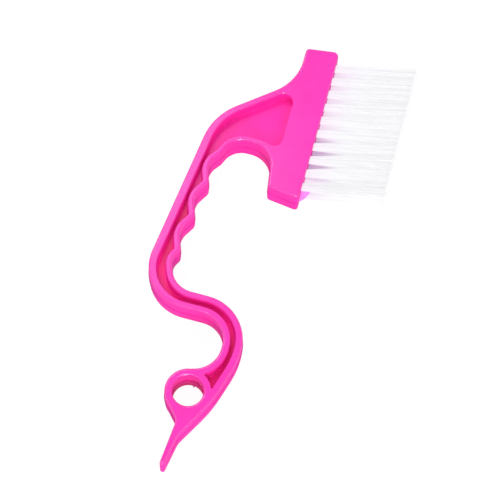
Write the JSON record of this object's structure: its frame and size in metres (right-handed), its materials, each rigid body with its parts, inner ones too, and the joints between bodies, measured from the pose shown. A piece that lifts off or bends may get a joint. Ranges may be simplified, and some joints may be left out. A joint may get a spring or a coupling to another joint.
{
  "type": "groove cleaning brush with scraper tail",
  "caption": "Slim moulded cleaning brush with a straight tufted head, a ridged finger grip, a sideways bend, a hang ring and a thin scraper tail.",
  "frame": {"origin": "axis of the hang ring's hole, on the face that the brush lies on", "axes": "+X is the way the tufts point, +Y runs along the grip from the hang ring to the head, +Z is the thickness of the moulding"},
  "size_m": [0.097, 0.2239, 0.015],
  "materials": {
    "pink_plastic": "moulded, semi-gloss",
    "white_nylon": "fine drawn filaments",
    "anchor_wire": "bright flat wire"
  },
  "bodies": {
    "root": {"handle": "pink_plastic", "upper_tuft_01": "white_nylon", "upper_tuft_02": "white_nylon", "upper_tuft_03": "white_nylon", "upper_tuft_04": "white_nylon", "upper_tuft_05": "white_nylon", "upper_tuft_06": "white_nylon", "upper_tuft_07": "white_nylon", "upper_tuft_08": "white_nylon", "upper_tuft_09": "white_nylon", "upper_tuft_10": "white_nylon", "lower_tuft_01": "white_nylon", "lower_tuft_02": "white_nylon", "lower_tuft_03": "white_nylon", "lower_tuft_04": "white_nylon", "lower_tuft_05": "white_nylon", "lower_tuft_06": "white_nylon", "lower_tuft_07": "white_nylon", "lower_tuft_08": "white_nylon", "lower_tuft_09": "white_nylon", "lower_tuft_10": "white_nylon", "upper_anchor_01": "anchor_wire", "upper_anchor_02": "anchor_wire", "upper_anchor_03": "anchor_wire", "upper_anchor_04": "anchor_wire", "upper_anchor_05": "anchor_wire", "upper_anchor_06": "anchor_wire", "upper_anchor_07": "anchor_wire", "upper_anchor_08": "anchor_wire", "upper_anchor_09": "anchor_wire", "upper_anchor_10": "anchor_wire", "lower_anchor_01": "anchor_wire", "lower_anchor_02": "anchor_wire", "lower_anchor_03": "anchor_wire", "lower_anchor_04": "anchor_wire", "lower_anchor_05": "anchor_wire", "lower_anchor_06": "anchor_wire", "lower_anchor_07": "anchor_wire", "lower_anchor_08": "anchor_wire", "lower_anchor_09": "anchor_wire", "lower_anchor_10": "anchor_wire"}
  },
  "joints": []
}
